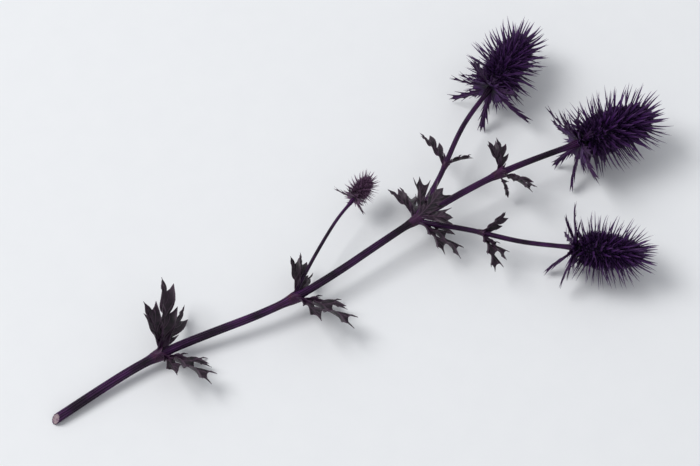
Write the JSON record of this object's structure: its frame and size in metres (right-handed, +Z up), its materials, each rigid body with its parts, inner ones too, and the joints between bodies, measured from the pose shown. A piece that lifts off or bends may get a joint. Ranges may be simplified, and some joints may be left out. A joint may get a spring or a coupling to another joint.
{
  "type": "sea holly stem",
  "caption": "Cut branching stem of dyed dark-violet sea holly, lying down: spiny cone-shaped flower heads over ruffs of toothed bracts, with lobed spiny leaves at its joints.",
  "frame": {"origin": "middle of the plant's box, on the surface that it lies on", "axes": "+X along the stem from its cut end to its flower heads, +Y to the left of that, +Z up"},
  "size_m": [0.4099, 0.1918, 0.0539],
  "materials": {
    "stem": "ridged purple stem with a waxy shine",
    "cone": "dry stiff spines, nearly black violet with lilac lights",
    "ruff": "stiff toothed bracts, nearly black violet",
    "leaf": "leathery spiny leaf, blackish violet, veined",
    "young": "dry stiff spines, dusty violet pink"
  },
  "bodies": {
    "root": {"stem": "stem", "head_main_cone": "cone", "head_main_ruff": "ruff", "head_left_cone": "cone", "head_left_ruff": "ruff", "head_right_cone": "cone", "head_right_ruff": "ruff", "head_young_cone": "young", "head_young_ruff": "young", "leaf_low_left": "leaf", "leaf_low_right": "leaf", "leaf_middle_left": "leaf", "leaf_middle_right": "leaf", "leaf_fork_up": "leaf", "leaf_fork_left": "leaf", "leaf_fork_right": "leaf", "leaf_upper_left": "leaf", "leaf_upper_right": "leaf", "leaf_upper_under": "leaf", "leaf_left_outer": "leaf", "leaf_left_inner": "leaf", "leaf_right_outer": "leaf", "leaf_right_inner": "leaf"}
  },
  "joints": []
}
